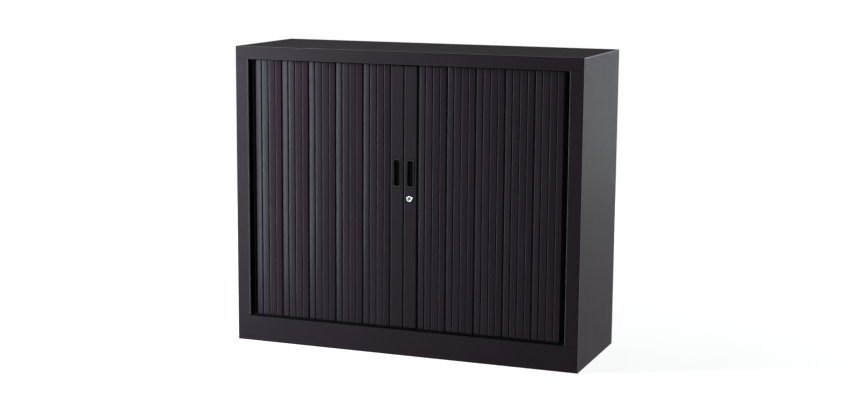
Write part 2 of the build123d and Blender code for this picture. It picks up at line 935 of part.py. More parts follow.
def foot_nuts():
    """Weld nuts on the brackets, which the studs screw through."""
    with BuildPart() as nuts:
        with BuildSketch(Plane.XY.offset(bracket_floor + bracket_sheet)):
            with GridLocations(2 * foot_x, 2 * foot_y, 2, 2):
                RegularPolygon(foot_nut_across / 2, 6, major_radius=False)
                octagon(2 * foot_bore_radius, Mode.SUBTRACT)
        extrude(amount=foot_nut_height)
    return nuts.part


def levelling_foot(x, y):
    """Hexagonal pad on a threaded stud, slotted on top for a screwdriver from inside."""
    with BuildPart() as foot:
        with BuildSketch(Plane.XY.offset(foot_lift)):
            with Locations((x, y)):
                RegularPolygon(foot_pad_radius, 6, major_radius=False)
        extrude(amount=foot_pad_height)
        with BuildSketch(Plane.XY.offset(foot_lift + foot_pad_height)):
            with Locations((x, y)):
                Circle(foot_stud_radius)
        extrude(amount=foot_stud_top - foot_lift - foot_pad_height)
        with Locations((x, y, foot_stud_top)):
            Box(2 * foot_stud_radius, foot_slot_width, 2 * foot_slot_depth, mode=Mode.SUBTRACT)
    return foot.part


# ---------------------------------------------------------------- build
os.makedirs("parts", exist_ok=True)

save_pair(side_panel(), "side_panel")
save(top_panel(), "top_panel")
save(plinth_panel(), "plinth_panel")
save(base_panel(), "base_panel")
save(ceiling_panel(), "ceiling_panel")
save(back_panel(), "back_panel")
save(base_stiffener(), "base_stiffener")

save_pair(liner(), "side_liner")
save(lining_back(), "inner_back_panel")
save(floor_panel(), "floor_panel")
save(floor_plugs(), "floor_plugs")
save(shelf(lower_shelf_level), "lower_shelf")
save(shelf(upper_shelf_level), "upper_shelf")
save(shelf_clips(), "shelf_clips")

save_pair(track(pan_top, bottom_track_height, True), "bottom_track")
save_pair(track(ceiling, top_track_height, False), "top_track")
save(track_buffers(), "track_buffers")

for number in range(panels_in_front + panels_stored):
    save_pair(curtain_panel(number), f"curtain_panel_{number + 1}")

plain_stile = stile()
with BuildPart() as left_channel:
    mirror(plain_stile, about=Plane.YZ)
save(left_channel.part, "left_stile")
save(right_stile_with_lock_hole(plain_stile), "right_stile")
save_pair(stile_shoes(), "stile_shoes")
save_pair(handle_cup(), "handle_cup")

save(lock_rosette(), "lock_rosette")
save(lock_housing(), "lock_housing")
save(lock_nut(), "lock_nut")
save(lock_plug(), "lock_plug")
save(lock_hook(), "lock_hook")
save(hook_screw(), "hook_screw")
save(lock_keeper(), "lock_keeper")

save(foot_brackets(), "foot_brackets")
save(foot_nuts(), "foot_nuts")
for name, corner_x_sign, corner_y_sign in (
    ("front_left", -1, -1),
    ("front_right", 1, -1),
    ("back_left", -1, 1),
    ("back_right", 1, 1),
):
    save(levelling_foot(corner_x_sign * foot_x, corner_y_sign * foot_y), f"{name}_foot")
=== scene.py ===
import json
import math
import random

import bpy
from mathutils import Matrix, Vector


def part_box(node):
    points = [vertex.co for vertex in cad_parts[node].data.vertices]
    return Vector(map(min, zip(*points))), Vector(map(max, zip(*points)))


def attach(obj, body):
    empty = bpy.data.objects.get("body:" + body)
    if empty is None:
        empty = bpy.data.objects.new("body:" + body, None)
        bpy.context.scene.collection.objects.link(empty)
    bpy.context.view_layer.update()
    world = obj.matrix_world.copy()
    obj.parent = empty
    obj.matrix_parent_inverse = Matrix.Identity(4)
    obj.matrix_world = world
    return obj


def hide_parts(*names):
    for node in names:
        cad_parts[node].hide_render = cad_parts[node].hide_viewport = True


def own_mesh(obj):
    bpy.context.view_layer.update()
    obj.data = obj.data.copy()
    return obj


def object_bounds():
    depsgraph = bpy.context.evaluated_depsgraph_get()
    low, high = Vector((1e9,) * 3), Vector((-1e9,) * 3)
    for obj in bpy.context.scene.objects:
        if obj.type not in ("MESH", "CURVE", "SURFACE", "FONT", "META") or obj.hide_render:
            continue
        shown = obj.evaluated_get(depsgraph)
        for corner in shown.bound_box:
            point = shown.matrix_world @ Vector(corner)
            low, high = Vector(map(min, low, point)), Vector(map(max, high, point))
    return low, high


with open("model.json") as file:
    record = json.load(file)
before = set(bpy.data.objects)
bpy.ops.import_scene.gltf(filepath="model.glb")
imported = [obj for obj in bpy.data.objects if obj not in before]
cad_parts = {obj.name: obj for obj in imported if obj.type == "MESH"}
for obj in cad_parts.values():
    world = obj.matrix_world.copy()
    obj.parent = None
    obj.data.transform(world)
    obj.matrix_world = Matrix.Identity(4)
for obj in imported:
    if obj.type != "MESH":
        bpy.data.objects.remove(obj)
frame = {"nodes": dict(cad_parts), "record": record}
cad_low, cad_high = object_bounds()

# Lengths are in metres unless a comment says otherwise, angles in radians, light in watts and
# colours in linear red, green and blue.

# ---- Camera ----
IMAGE_WIDTH = 854
FOCAL_PIXELS = 1649.8
CAMERA_AZIMUTH = math.radians(20.82)
CAMERA_ELEVATION = math.radians(9.41)
CAMERA_ROLL = 0.0075
CAMERA_DISTANCE = 5.56
CAMERA_TARGET = Vector((0.0042, 0.0, 0.4707))
SENSOR_WIDTH = 36.0  # millimetres
CLIP_NEAR = 0.05
CLIP_FAR = 100.0

# ---- Carcass and stiles ----
OPENING_EDGE = 0.555
RAIL_BOTTOM = 0.958
PLINTH_TOP = 0.085
STILE_INNER = 0.0015
STILE_OUTER = 0.045

# ---- Curtain ----
FIRST_HINGE = 0.048
RIB_PITCH = 0.0244
RIB_GROOVE = 0.0019
HINGE_GROOVE = 0.0022
RIBS_PER_PANEL = 4
PANEL_WIDTH = RIBS_PER_PANEL * RIB_PITCH
PANELS_IN_FRONT = 5
PANELS_PER_DOOR = 7
HINGE_Y = -0.195
CREST = 0.0064
CREST_FALL = 0.00035
CROWN_STEPS = 8
SHOULDER_RADIUS = 0.0017
SHOULDER_STEPS = 6
GROOVE_FLOOR = 0.0006
RIB_BACK = 0.0008
RIB_LIFT = 0.003
PANEL_TILT = math.radians(7.5)
RIB_WANDER = 0.00025
RIB_TWIST = math.radians(0.9)
RIB_LEVELS = 26
WANDER_SEED = 11565
WAVE_TURNS = (0.6, 1.4)
SLOW_WAVE = 0.6
FAST_WAVE = 0.4
FAST_WAVE_TURNS = 2.5

# ---- Finger pull ----
CUP_WIDTH = 0.029
CUP_HEIGHT = 0.098
CUP_CORNER = 0.005
CUP_BEAD = 0.0012
BEAD_STEPS = 5
RIM_BLACK = 0.0009
CUP_BOX_WIDTH = 0.0228
CUP_BOX_HEIGHT = 0.0868
CUP_BOX_CORNER = 0.0012
CUP_FLOOR = 0.0015
CORNER_STEPS = 6
POCKET_WIDTH = 0.020
POCKET_HEIGHT = 0.084
POCKET_CORNER = 0.0045
POCKET_LIP = 0.0008
LIP_STEPS = 4
POCKET_DRAFT = 0.0008
POCKET_FLOOR_RADIUS = 0.002
FLOOR_STEPS = 3

# ---- Lock ----
LOCK_X = 0.02075
LOCK_Z = 0.523
BEZEL_RADIUS = 0.0095
BEZEL_DEPTH = 0.0025
BEZEL_ROLL = 0.0013
BEZEL_ROLL_STEPS = 8
BEZEL_DISH = ((0.0068, 0.0001), (0.0061, 0.0007), (0.0058, 0.0013))
BORE_RADIUS = 0.0058
BARREL_RADIUS = 0.008
TURNED_STEPS = 48
LUG_ANGLE = math.radians(22.0)
LUG_ROOT = 0.0078
LUG_OUTLINE = (
    (0.0078, -0.0025),
    (0.0118, -0.0021),
    (0.0134, -0.0009),
    (0.0134, 0.0009),
    (0.0118, 0.0021),
    (0.0078, 0.0025),
)
LUG_RINGS = ((0.0, 1.0), (0.0010, 1.0), (0.0015, 0.82))

# ---- Colours and finishes ----
GRAPHITE = (0.0275, 0.0180, 0.0256)
CURTAIN_GRAPHITE = (0.0245, 0.0128, 0.0218)
# Painted highlight colour for each rib's left shoulder.
RIDGE_HIGHLIGHT_GRAPHITE = (0.044, 0.034, 0.043)
RIM_GRAPHITE = (0.030, 0.026, 0.030)
MOULDED_BLACK = (0.003, 0.0028, 0.0032)
RUBBER_BLACK = (0.01, 0.01, 0.01)
BRIGHT_NICKEL = (0.93, 0.93, 0.94)
SATIN_NICKEL = (0.17, 0.17, 0.18)
ZINC = (0.55, 0.56, 0.58)
COOL_SHEEN = (0.80, 1.0, 1.05, 1.0)
COAT_ROUGH = 0.5
COAT_SPECULAR = 0.065
INNER_SHARE = 1.15
STILE_SHARE = 0.95
# Painted shade: share of the colour for the stored panels behind the posts.
STORED_SHADE_SHARE = 0.08
TOP_ROUGH = 0.95
# Painted shade: share of the colour on the top's upward faces.
TOP_PAINTED_SHADE = 0.8
NOISE_ROUGHNESS = 0.55
FACING_FROM = 0.5
FACING_FULL = 0.95
SHARP_ANGLE = math.radians(40)

# ---- Painted highlights, shade and sheen along folds ----
# Lines along folds painted lighter, darker or metallic stand in for highlights, shade and sheen there.
FOLD_WIDTH = 0.0030
FOLD_CORE = 0.6
FOLD_HIGHLIGHT_COLOUR = (0.48, 0.46, 0.48)
FOLD_SHADE_BLACK = (0.002, 0.0015, 0.002)
TOP_FOLD_HIGHLIGHT = 0.6
OPENING_FOLD_HIGHLIGHT = 0.10
RAIL_FOLD_HIGHLIGHT = 0.03
STILE_FOLD_HIGHLIGHT = 0.10
SIDE_FOLD_SHEEN = 0.18

# ---- Studio ----
FLOOR_HALF = 30.0
FLOOR_GREY = (0.45, 0.45, 0.455, 1.0)
FLOOR_GLOW = 0.88
GLOW_RISES_FROM = 0.9
GLOW_FULL_AT = 2.4
AMBIENT = 0.03
WHITE = (1.0, 1.0, 1.0)
COOL_LIGHT = (0.92, 1.01, 1.06)
LEFT_LIGHT = (0.91, 1.07, 1.03)
# Name, place, target, width, height, watts, colour.
LAMPS = (
    ("left_key", (-1.0, -1.0, 1.55), (-0.45, -0.2, 0.8), 0.25, 0.7, 18.0, LEFT_LIGHT),
    ("left_front", (-1.13, -1.0, 0.66), (-0.5, -0.2, 0.6), 0.16, 1.3, 14.0, LEFT_LIGHT),
    ("back_right_high", (1.6, 2.6, 1.6), (0.6, 0.0, 0.8), 1.0, 1.0, 4.0, COOL_LIGHT),
    ("back_right_low", (1.4, 2.2, 0.9), (0.6, 0.0, 0.8), 0.6, 1.4, 9.0, COOL_LIGHT),
    ("back_fill", (-1.0, 3.0, 0.55), (-0.1, 0.2, 0.5), 1.2, 0.8, 26.0, WHITE),
    ("front_right_high", (1.3, -1.3, 2.2), (0.45, -0.2, 0.95), 0.5, 0.5, 4.5, WHITE),
    ("back_left_high", (-0.8, 0.8, 2.4), (-0.2, 0.0, 1.0), 1.2, 0.8, 2.0, WHITE),
)


# ---------------------------------------------------------------- shader helpers
def new_material(name):
    """Empty node material with its Principled shader."""
    material = bpy.data.materials.new(name)
    material.use_nodes = True
    return material, material.node_tree, material.node_tree.nodes["Principled BSDF"]


def math_node(tree, operation, first, second):
    """Math node on two values, each a socket or a number."""
    node = tree.nodes.new("ShaderNodeMath")
    node.operation = operation
    for socket, value in zip(node.inputs, (first, second)):
        if isinstance(value, (int, float)):
            socket.default_value = value
        else:
            tree.links.new(value, socket)
    return node.outputs[0]


def both(tree, first, second):
    """The overlap of two masks."""
    return math_node(tree, "MULTIPLY", first, second)


def strongest(tree, *masks):
    """The largest of several masks."""
    total = 0.0
    for mask in masks:
        total = math_node(tree, "MAXIMUM", mask, total)
    return total


def noise(tree, scale, stretch=(1.0, 1.0, 1.0), detail=3.0):
    """Noise in the object's own coordinates, with this many cells a metre, stretched along the axes."""
    coordinates = tree.nodes.new("ShaderNodeTexCoord")
    mapping = tree.nodes.new("ShaderNodeMapping")
    mapping.inputs["Scale"].default_value = stretch
    texture = tree.nodes.new("ShaderNodeTexNoise")
    texture.inputs["Scale"].default_value = scale
    texture.inputs["Detail"].default_value = detail
    texture.inputs["Roughness"].default_value = NOISE_ROUGHNESS
    tree.links.new(coordinates.outputs["Object"], mapping.inputs["Vector"])
    tree.links.new(mapping.outputs["Vector"], texture.inputs["Vector"])
    return texture.outputs["Fac"]


def spread(tree, source, low, high, start=0.3, end=0.7):
    """Maps a value from start..end to low..high."""
    node = tree.nodes.new("ShaderNodeMapRange")
    node.inputs["From Min"].default_value = start
    node.inputs["From Max"].default_value = end
    node.inputs["To Min"].default_value = low
    node.inputs["To Max"].default_value = high
    tree.links.new(source, node.inputs["Value"])
    return node.outputs["Result"]


def mixed(tree, factor, low, high):
    """Mixes two colours, each a socket or three numbers, by a factor."""
    node = tree.nodes.new("ShaderNodeMix")
    node.data_type = "RGBA"
    tree.links.new(factor, node.inputs["Factor"])
    colours = [socket for socket in node.inputs if socket.type == "RGBA"]
    for socket, value in zip(colours, (low, high)):
        if isinstance(value, tuple):
            socket.default_value = (*value, 1.0)
        else:
            tree.links.new(value, socket)
    return next(socket for socket in node.outputs if socket.type == "RGBA")


def scaled(colour, share):
    """A colour made lighter or darker."""
    return tuple(channel * share for channel in colour)


def bump(tree, shader, source, height, strength):
    """Relief of this height."""
    node = tree.nodes.new("ShaderNodeBump")
    node.inputs["Distance"].default_value = height
    node.inputs["Strength"].default_value = strength
    tree.links.new(source, node.inputs["Height"])
    tree.links.new(node.outputs["Normal"], shader.inputs["Normal"])


def separated(tree, output):
    """The three parts of a texture coordinate."""
    split = tree.nodes.new("ShaderNodeSeparateXYZ")
    tree.links.new(tree.nodes.new("ShaderNodeTexCoord").outputs[output], split.inputs[0])
    return split.outputs["X"], split.outputs["Y"], split.outputs["Z"]


def facing(tree, part):
    """1 where one part of the normal is near 1, 0 where it is under a half."""
    return spread(tree, part, 0.0, 1.0, FACING_FROM, FACING_FULL)


def facing_front(tree, normal_y):
    """1 on surfaces that face the front, which is -Y."""
    return facing(tree, math_node(tree, "MULTIPLY", normal_y, -1.0))


def closeness(tree, value, place):
    """1 within FOLD_CORE of a fold's width from a plane, fading to 0 at the full width."""
    distance = math_node(tree, "ABSOLUTE", math_node(tree, "SUBTRACT", value, place), 0.0)
    return spread(tree, distance, 1.0, 0.0, FOLD_CORE * FOLD_WIDTH, FOLD_WIDTH)


# ---------------------------------------------------------------- painted highlights and shade along folds
def carcass_painted_fold_lines(tree):
    """Painted highlight lines, painted shade lines and a painted metallic sheen along the carcass's
    folds, each on the face that it runs along.
    """
    x, y, z = separated(tree, "Object")
    normal_x, normal_y, normal_z = separated(tree, "Normal")
    across = math_node(tree, "ABSOLUTE", x, 0.0)
    on_side = facing(tree, math_node(tree, "ABSOLUTE", normal_x, 0.0))
    on_front = facing_front(tree, normal_y)
    on_top = facing(tree, normal_z)
    side = closeness(tree, across, cad_high.x)
    front = closeness(tree, y, cad_low.y)
    back = closeness(tree, y, cad_high.y)
    top = closeness(tree, z, cad_high.z)
    ground = closeness(tree, z, cad_low.z)
    plinth = closeness(tree, z, PLINTH_TOP)
    under_rail = math_node(tree, "LESS_THAN", z, RAIL_BOTTOM)
    over_plinth = math_node(tree, "GREATER_THAN", z, PLINTH_TOP)
    between_posts = math_node(tree, "LESS_THAN", across, OPENING_EDGE)
    opening = both(tree, closeness(tree, across, OPENING_EDGE), both(tree, under_rail, over_plinth))
    rail = both(tree, closeness(tree, z, RAIL_BOTTOM), between_posts)
    side_edges = both(tree, on_side, strongest(tree, front, top))
    # Painted highlights where the light would catch the folds.
    light = strongest(
        tree,
        side_edges,
        both(tree, both(tree, on_top, both(tree, front, top)), TOP_FOLD_HIGHLIGHT),
        both(tree, both(tree, on_front, opening), OPENING_FOLD_HIGHLIGHT),
        both(tree, both(tree, on_front, rail), RAIL_FOLD_HIGHLIGHT),
    )
    # Painted shade: dark lines along outer edges, at the ground, at the back and over the plinth.
    dark = strongest(
        tree,
        both(tree, on_front, strongest(tree, side, top, ground)),
        both(tree, on_top, strongest(tree, side, back, plinth)),
        both(tree, on_side, strongest(tree, back, ground)),
    )
    # The side edges also get a painted metallic sheen.
    return light, dark, both(tree, side_edges, SIDE_FOLD_SHEEN)


def stile_painted_edge_lines(tree):
    """A painted highlight line up each stile's left edge and a painted shade line up its right edge."""
    x = separated(tree, "Object")[0]
    on_front = facing_front(tree, separated(tree, "Normal")[1])
    left_edges = strongest(tree, closeness(tree, x, -STILE_OUTER), closeness(tree, x, STILE_INNER))
    right_edges = strongest(tree, closeness(tree, x, STILE_OUTER), closeness(tree, x, -STILE_INNER))
    light = both(tree, both(tree, on_front, left_edges), STILE_FOLD_HIGHLIGHT)
    return light, both(tree, on_front, right_edges), None


# ---------------------------------------------------------------- materials
def powder_coat(name, colour, rough, specular, folds=None, rough_above=None):
    """Fine-textured powder coat: faint clouding, a pebbled skin and, if asked for, painted highlight,
    shade and sheen lines along its folds.
    With rough_above, the faces that look up get painted shade, a darker copy of the colour, and are this
    rough."""
    cloud_scale, gloss_scale, pebble_scale = 7.0, 24.0, 900.0
    cloud_depth, gloss_depth = 0.05, 0.015
    pebble_height, pebble_strength = 0.00012, 0.35
    material, tree, shader = new_material(name)
    clouds = spread(tree, noise(tree, cloud_scale, detail=4.0), 0.0, 1.0)
    base = mixed(tree, clouds, scaled(colour, 1 - cloud_depth), scaled(colour, 1 + cloud_depth))
    gloss = spread(tree, noise(tree, gloss_scale, detail=5.0), rough - gloss_depth, rough + gloss_depth)
    if rough_above is not None:
        upward = facing(tree, separated(tree, "Normal")[2])
        gloss = math_node(tree, "ADD", gloss, both(tree, upward, rough_above - rough))
        # Painted shade: faces that look up take a darker copy of the colour.
        base = mixed(tree, upward, base, scaled(colour, TOP_PAINTED_SHADE))
    if folds is not None:
        # Painted highlight, shade and sheen lines along the folds.
        light, dark, painted_sheen = folds(tree)
        base = mixed(tree, light, base, FOLD_HIGHLIGHT_COLOUR)
        base = mixed(tree, dark, base, FOLD_SHADE_BLACK)
        if painted_sheen is not None:
            tree.links.new(painted_sheen, shader.inputs["Metallic"])
    tree.links.new(base, shader.inputs["Base Color"])
    tree.links.new(gloss, shader.inputs["Roughness"])
    bump(tree, shader, noise(tree, pebble_scale, detail=2.0), pebble_height, pebble_strength)
    shader.inputs["Specular IOR Level"].default_value = specular
    shader.inputs["Specular Tint"].default_value = COOL_SHEEN
    return material


def curtain_plastic(name, colour, rough, specular):
    """Extruded plastic: fine draw lines up the ribs, each rib a little lighter or darker."""
    rib_scale, rib_stretch = 30.0, (1.3, 1.3, 0.06)
    line_scale, line_stretch = 60.0, (14.0, 14.0, 0.05)
    darker, lighter = 0.86, 1.12
    smoother, rougher = 0.03, 0.04
    line_height, line_strength = 0.00003, 0.5
    material, tree, shader = new_material(name)
    per_rib = spread(tree, noise(tree, rib_scale, stretch=rib_stretch, detail=1.0), 0.0, 1.0)
    base = mixed(tree, per_rib, scaled(colour, darker), scaled(colour, lighter))
    draw_lines = noise(tree, line_scale, stretch=line_stretch, detail=4.0)
    gloss = spread(tree, draw_lines, rough - smoother, rough + rougher)
    tree.links.new(base, shader.inputs["Base Color"])
    tree.links.new(gloss, shader.inputs["Roughness"])
    bump(tree, shader, draw_lines, line_height, line_strength)
    shader.inputs["Specular IOR Level"].default_value = specular
    shader.inputs["Specular Tint"].default_value = COOL_SHEEN
    return material


def moulded_plastic(name, colour, rough, specular):
    """Moulded plastic or rubber with a fine spark-eroded grain."""
    patch_scale, grain_scale = 55.0, 1600.0
    darker, lighter, gloss_depth = 0.8, 1.25, 0.06
    grain_height, grain_strength = 0.00006, 0.3
    material, tree, shader = new_material(name)
    patches = noise(tree, patch_scale)
    base = mixed(tree, spread(tree, patches, 0.0, 1.0), scaled(colour, darker), scaled(colour, lighter))
    gloss = spread(tree, patches, rough - gloss_depth, rough + gloss_depth)
    tree.links.new(base, shader.inputs["Base Color"])
    tree.links.new(gloss, shader.inputs["Roughness"])
    bump(tree, shader, noise(tree, grain_scale, detail=1.0), grain_height, grain_strength)
    shader.inputs["Specular IOR Level"].default_value = specular
    return material


def plated_metal(name, colour, rough, stretch=(1.0, 1.0, 1.0)):
    """Plated metal with brushed or polished variation in its gloss."""
    stain_scale, brush_scale = 90.0, 420.0
    stain_shade, smoother, rougher = 0.88, 0.7, 1.4
    brush_height, brush_strength = 0.00002, 0.3
    material, tree, shader = new_material(name)
    stains = spread(tree, noise(tree, stain_scale, detail=4.0), 0.0, 1.0)
    brushing = noise(tree, brush_scale, stretch=stretch)
    gloss = spread(tree, brushing, rough * smoother, rough * rougher)
    tree.links.new(mixed(tree, stains, scaled(colour, stain_shade), colour), shader.inputs["Base Color"])
    tree.links.new(gloss, shader.inputs["Roughness"])
    bump(tree, shader, brushing, brush_height, brush_strength)
    shader.inputs["Metallic"].default_value = 1.0
    return material


# One material for each slot of the record.
MATERIALS = {
    "carcass_paint": powder_coat(
        "graphite_powder_coat", GRAPHITE, COAT_ROUGH, COAT_SPECULAR, folds=carcass_painted_fold_lines
    ),
    "inner_paint": powder_coat(
        "graphite_inner_coat", scaled(GRAPHITE, INNER_SHARE), rough=0.6, specular=0.1
    ),
    "stile_paint": powder_coat(
        "graphite_stile_coat", scaled(GRAPHITE, STILE_SHARE), COAT_ROUGH, COAT_SPECULAR, folds=stile_painted_edge_lines
    ),
    "curtain_plastic": curtain_plastic(
        "graphite_curtain_plastic", CURTAIN_GRAPHITE, rough=0.30, specular=0.105
    ),
    "black_plastic": moulded_plastic("black_moulded_plastic", MOULDED_BLACK, rough=0.45, specular=0.04),
    "rubber": moulded_plastic("black_rubber", RUBBER_BLACK, rough=0.7, specular=0.08),
    "lock_chrome": plated_metal("bright_nickel", BRIGHT_NICKEL, rough=0.18),
    "lock_steel": plated_metal("satin_nickel", SATIN_NICKEL, rough=0.42, stretch=(1.0, 1.0, 0.1)),
    "zinc_steel": plated_metal("zinc_plated_steel", ZINC, rough=0.38),
}
# Finishes of single pieces or of parts of one. The top coat and the stored plastic carry painted shade,
# the ridge plastic a painted highlight.
TOP_SHADED_COAT = powder_coat(
    "graphite_top_coat_painted_shade", GRAPHITE, COAT_ROUGH, COAT_SPECULAR, folds=carcass_painted_fold_lines, rough_above=TOP_ROUGH
)
STORED_SHADED_PLASTIC = curtain_plastic(
    "graphite_stored_plastic_painted_shade", scaled(GRAPHITE, STORED_SHADE_SHARE), rough=0.36, specular=0.01
)
RIDGE_HIGHLIGHT_PLASTIC = curtain_plastic("rib_ridge_painted_highlight", RIDGE_HIGHLIGHT_GRAPHITE, rough=0.28, specular=0.23)
RIM_PLASTIC = moulded_plastic("grey_rim_plastic", RIM_GRAPHITE, rough=0.36, specular=0.16)


def finish_node(node, material):
    """Gives a CAD node its material, on the object and not on the mesh."""
    for material_slot in frame["nodes"][node].material_slots:
        material_slot.link = "OBJECT"
        material_slot.material = material


for subpart in frame["record"]["subparts"]:
    finish_node(subpart["node"], MATERIALS[subpart["material_slot"]])
finish_node("top_panel", TOP_SHADED_COAT)
# The stored panels round the corner get a darkened plastic, painted shade.
for door in ("left", "right"):
    for number in range(PANELS_IN_FRONT + 1, PANELS_PER_DOOR + 1):
        finish_node(f"{door}_curtain_panel_{number}", STORED_SHADED_PLASTIC)


# ---------------------------------------------------------------- mesh helpers
def piece_from(name, vertices, faces, slot, body, replaced):
    """A smooth-shaded piece that rides on a body and stands for nodes, in the material of its slot."""
    mesh = bpy.data.meshes.new(name)
    mesh.from_pydata(vertices, [], faces)
    mesh.validate()
    mesh.shade_smooth()
    mesh.set_sharp_from_angle(angle=SHARP_ANGLE)
    mesh.materials.append(MATERIALS[slot])
    piece = bpy.data.objects.new(name, mesh)
    bpy.context.scene.collection.objects.link(piece)
    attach(piece, body)
    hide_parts(*replaced)
    return piece


def loft_faces(rings, count):
    """Quads between rings of equally many points, with a face on the first and last ring."""
    faces = []
    for ring in range(rings - 1):
        low = ring * count
        high = low + count
        for i in range(count):
            j = (i + 1) % count
            faces.append((low + i, low + j, high + j, high + i))
    faces.append(tuple(reversed(range(count))))
    faces.append(tuple(range((rings - 1) * count, rings * count)))
    return faces


def arc_points(centre, radius, start, end, steps):
    """Points on an arc in the plane."""
    return [
        (
            centre[0] + radius * math.cos(start + (end - start) * i / steps),
            centre[1] + radius * math.sin(start + (end - start) * i / steps),
        )
        for i in range(steps + 1)
    ]


def quarter_turn(steps, first=0):
    """Angles from 0 to a quarter turn, from the given step on."""
    return [math.pi / 2 * step / steps for step in range(first, steps + 1)]


# ---------------------------------------------------------------- curtain
def rib_outline():
    """Front of one rib about its middle: groove wall, shoulder, crowned face, shoulder, wall."""
    half = (RIB_PITCH - RIB_GROOVE) / 2
    inner = half - SHOULDER_RADIUS
    shoulder_v = CREST - CREST_FALL - SHOULDER_RADIUS
    lean = math.atan(2 * CREST_FALL / inner)
    quarter = math.pi / 2
    left = arc_points((-inner, shoulder_v), SHOULDER_RADIUS, math.pi, quarter + lean, SHOULDER_STEPS)
    right = arc_points((inner, shoulder_v), SHOULDER_RADIUS, quarter - lean, 0.0, SHOULDER_STEPS)
    first, last = left[-1], right[0]
    crown = []
    for i in range(1, CROWN_STEPS):
        t = (1 - math.cos(math.pi * i / CROWN_STEPS)) / 2
        u = first[0] + (last[0] - first[0]) * t
        crown.append((u, first[1] + 4 * (CREST - first[1]) * t * (1 - t)))
    return [(-half, GROOVE_FLOOR), *left, *crown, *right, (half, GROOVE_FLOOR)]


def wave(rng):
    """Slow smooth wander between -1 and 1, one value for each level."""
    count = RIB_LEVELS + 1
    slow_phase = rng.uniform(0, 2 * math.pi)
    fast_phase = rng.uniform(0, 2 * math.pi)
    slow_turns = rng.uniform(*WAVE_TURNS)
    return [
        SLOW_WAVE * math.sin(2 * math.pi * slow_turns * i / count + slow_phase)
        + FAST_WAVE * math.sin(2 * math.pi * FAST_WAVE_TURNS * i / count + fast_phase)
        for i in range(count)
    ]


def panel_ring(outline, start, waves, level):
    """Section of a panel at one level, u from the doors' joint and v out of the curtain."""
    body_width = RIB_PITCH - RIB_GROOVE
    last_rib = RIBS_PER_PANEL - 1
    ring = []
    for rib, (wander, twist) in enumerate(waves):
        tilt = PANEL_TILT * (2 * rib - last_rib) / last_rib + twist[level] * RIB_TWIST
        # The outer ribs are narrower, which leaves a wider groove at the hinge between panels.
        inward = {0: 1, last_rib: -1}.get(rib, 0) * HINGE_GROOVE / 2
        narrowed = 1 - abs(inward) / body_width * 2
        middle = start + (rib + 0.5) * RIB_PITCH + wander[level] * RIB_WANDER + inward
        for u, v in outline:
            u *= narrowed
            ring.append((middle + u * math.cos(tilt) + v * math.sin(tilt), v - u * math.sin(tilt)))
    # The bow takes the outer ribs back so that none stands further out than the crest.
    proud = max(v for _, v in ring) - CREST
    ring = [(u, v - proud) for u, v in ring]
    ring.append((start + PANEL_WIDTH - RIB_GROOVE / 2, -RIB_BACK))
    ring.append((start + RIB_GROOVE / 2, -RIB_BACK))
    return ring


def curtain_panel(side_name, index, rng):
    """Four ribs in one extrusion, bowed across its width, with a slight wander up its length."""
    node = f"{side_name}_curtain_panel_{index + 1}"
    low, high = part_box(node)
    foot = low.z + RIB_LIFT
    sign = -1 if side_name == "left" else 1
    outline = rib_outline()
    waves = [(wave(rng), wave(rng)) for _ in range(RIBS_PER_PANEL)]
    vertices = []
    for level in range(RIB_LEVELS + 1):
        z = foot + (high.z - foot) * level / RIB_LEVELS
        ring = panel_ring(outline, FIRST_HINGE + index * PANEL_WIDTH, waves, level)
        vertices += [(sign * u, HINGE_Y - v, z) for u, v in ring]
    count = len(ring)
    faces = loft_faces(RIB_LEVELS + 1, count)
    if sign > 0:
        faces = [tuple(reversed(face)) for face in faces]
    name = f"{side_name}_curtain_ribs_{index + 1}"
    piece = piece_from(name, vertices, faces, "curtain_plastic", "cabinet", (node,))
    # Painted highlight on each rib's left shoulder.
    paint_ridge_highlights(piece, outline, count, sign)
    # At the joint's limit the flattened ribs stand just past the lip on the stile.
    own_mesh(piece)


def paint_ridge_highlights(piece, outline, count, sign):
    """Painted highlight on each rib's left shoulder and the first strip of its crown, in a lighter,
    glossier second plastic.
    """
    last_segment = len(outline) - 2
    ridge = range(2, SHOULDER_STEPS + 2)
    if sign < 0:
        ridge = [last_segment - segment for segment in ridge]
    piece.data.materials.append(RIDGE_HIGHLIGHT_PLASTIC)
    for level in range(RIB_LEVELS):
        for rib in range(RIBS_PER_PANEL):
            for segment in ridge:
                piece.data.polygons[level * count + rib * len(outline) + segment].material_index = 1


def stored_panel(side_name):
    """First panel round the corner: a copy of its CAD node's mesh in the darkened stored plastic, which
    is painted shade, on the cabinet.
    """
    node = f"{side_name}_curtain_panel_{PANELS_IN_FRONT + 1}"
    mesh = frame["nodes"][node].data.copy()
    mesh.materials.clear()
    # Darkened plastic: painted shade behind the post.
    mesh.materials.append(STORED_SHADED_PLASTIC)
    piece = bpy.data.objects.new(f"{side_name}_stored_ribs", mesh)
    bpy.context.scene.collection.objects.link(piece)
    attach(piece, "cabinet")
    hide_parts(node)
    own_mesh(piece)


random_source = random.Random(WANDER_SEED)
for door in ("left", "right"):
    for panel_index in range(PANELS_IN_FRONT):
        curtain_panel(door, panel_index, random_source)
for door in ("left", "right"):
    stored_panel(door)


# ---------------------------------------------------------------- finger pulls
def rounded_loop(centre, width, height, radius, y):
    """Rounded rectangle in the plane at depth y, seen from the front."""
    points = []
    for corner, (sign_x, sign_z) in enumerate(((1, 1), (-1, 1), (-1, -1), (1, -1))):
        middle = (
            centre[0] + sign_x * (width / 2 - radius),
            centre[1] + sign_z * (height / 2 - radius),
        )
        start = corner * math.pi / 2
        for x, z in arc_points(middle, radius, start, start + math.pi / 2, CORNER_STEPS):
            points.append((x, y, z))
    return points


